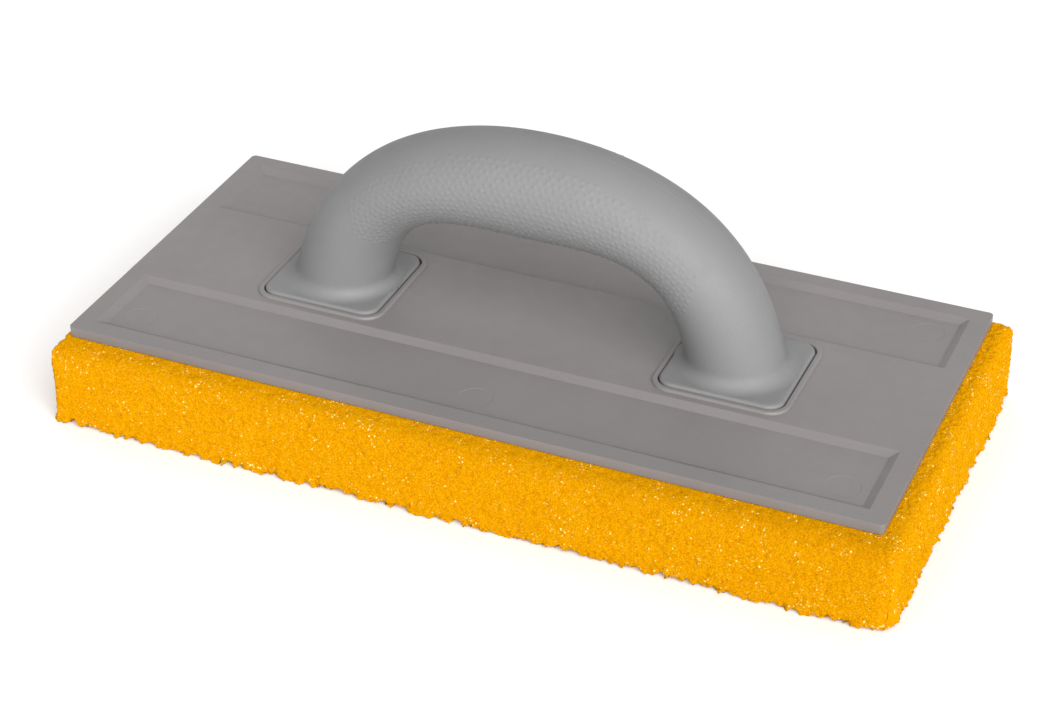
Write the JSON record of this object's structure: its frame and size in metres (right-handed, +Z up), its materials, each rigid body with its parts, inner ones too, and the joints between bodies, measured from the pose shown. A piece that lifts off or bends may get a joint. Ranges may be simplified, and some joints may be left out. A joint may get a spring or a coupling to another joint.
{
  "type": "grout float",
  "caption": "Hand-held sponge grout float: a rectangular coarse sponge pad glued under a panelled plastic backing plate, with an arched hollow handle screwed into square sockets.",
  "frame": {"origin": "middle of the sponge's underside, where the float rests", "axes": "+X along the float's length, +Y across it, away from the side where the sponge stands further out, +Z up through the handle"},
  "size_m": [0.28, 0.138, 0.0977],
  "materials": {
    "sponge": "open-cell foam, matte",
    "adhesive": "cured contact adhesive, satin",
    "plate_plastic": "moulded, satin",
    "handle_plastic": "moulded, satin with a pebbled grip",
    "screw_steel": "zinc plated"
  },
  "bodies": {
    "root": {"sponge_pad": "sponge", "adhesive_film": "adhesive", "backing_plate": "plate_plastic", "handle_front_shell": "handle_plastic", "handle_back_shell": "handle_plastic", "handle_screws": "screw_steel"}
  },
  "joints": []
}
